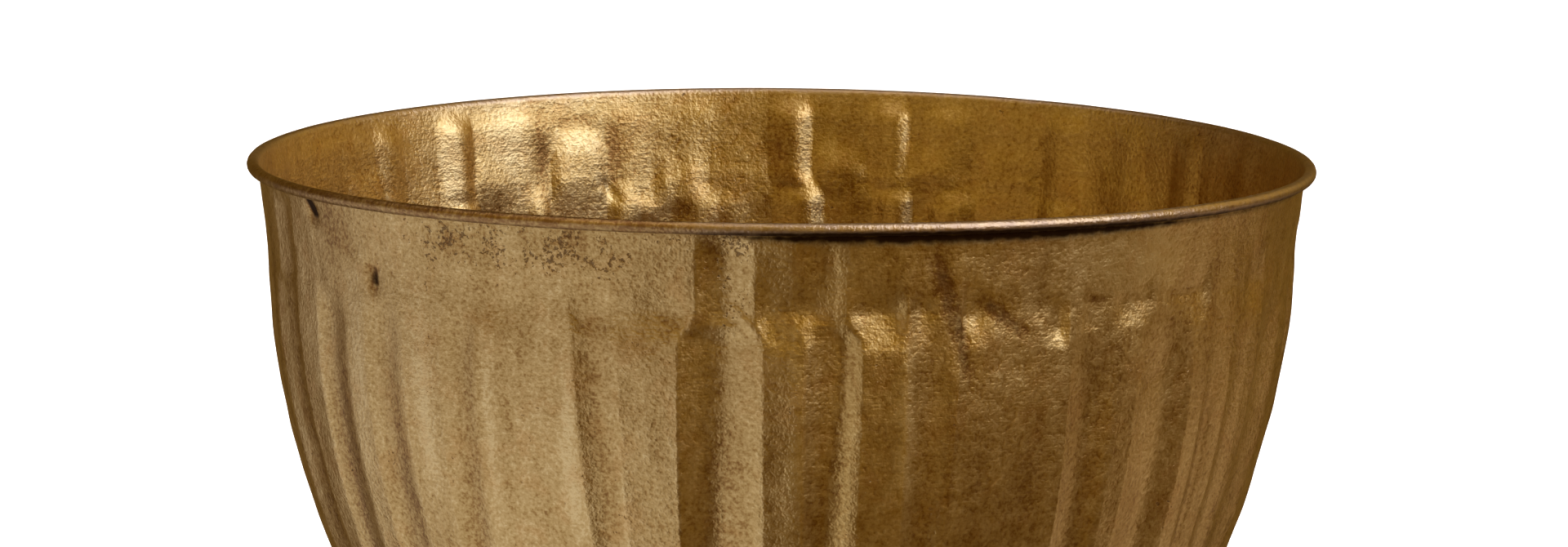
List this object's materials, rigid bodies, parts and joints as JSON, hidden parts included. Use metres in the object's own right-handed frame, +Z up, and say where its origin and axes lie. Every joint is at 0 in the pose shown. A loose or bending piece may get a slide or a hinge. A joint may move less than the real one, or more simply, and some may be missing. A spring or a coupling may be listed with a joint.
{
  "type": "planter pot",
  "caption": "Fluted, hammered sheet-brass planter pot with a wired rim, drawing in to a flat brazed-in base on rubber feet.",
  "frame": {"origin": "middle of the footprint, on the surface that the pot stands on", "axes": "+Z up through the mouth; -Y is the side seen in the picture"},
  "size_m": [0.3596, 0.3597, 0.26],
  "materials": {
    "aged_brass": "aged, hammered and hand-brushed brass, satin, with brown patina in the hollows",
    "braze": "as-run brazing brass, slightly lumpy, satin",
    "iron_wire": "dull drawn iron wire",
    "rubber": "matt black moulded rubber"
  },
  "bodies": {
    "root": {"wall": "aged_brass", "rim_wire": "iron_wire", "base_disc": "aged_brass", "base_braze": "braze", "foot_1": "rubber", "foot_2": "rubber", "foot_3": "rubber", "foot_4": "rubber"}
  },
  "joints": []
}
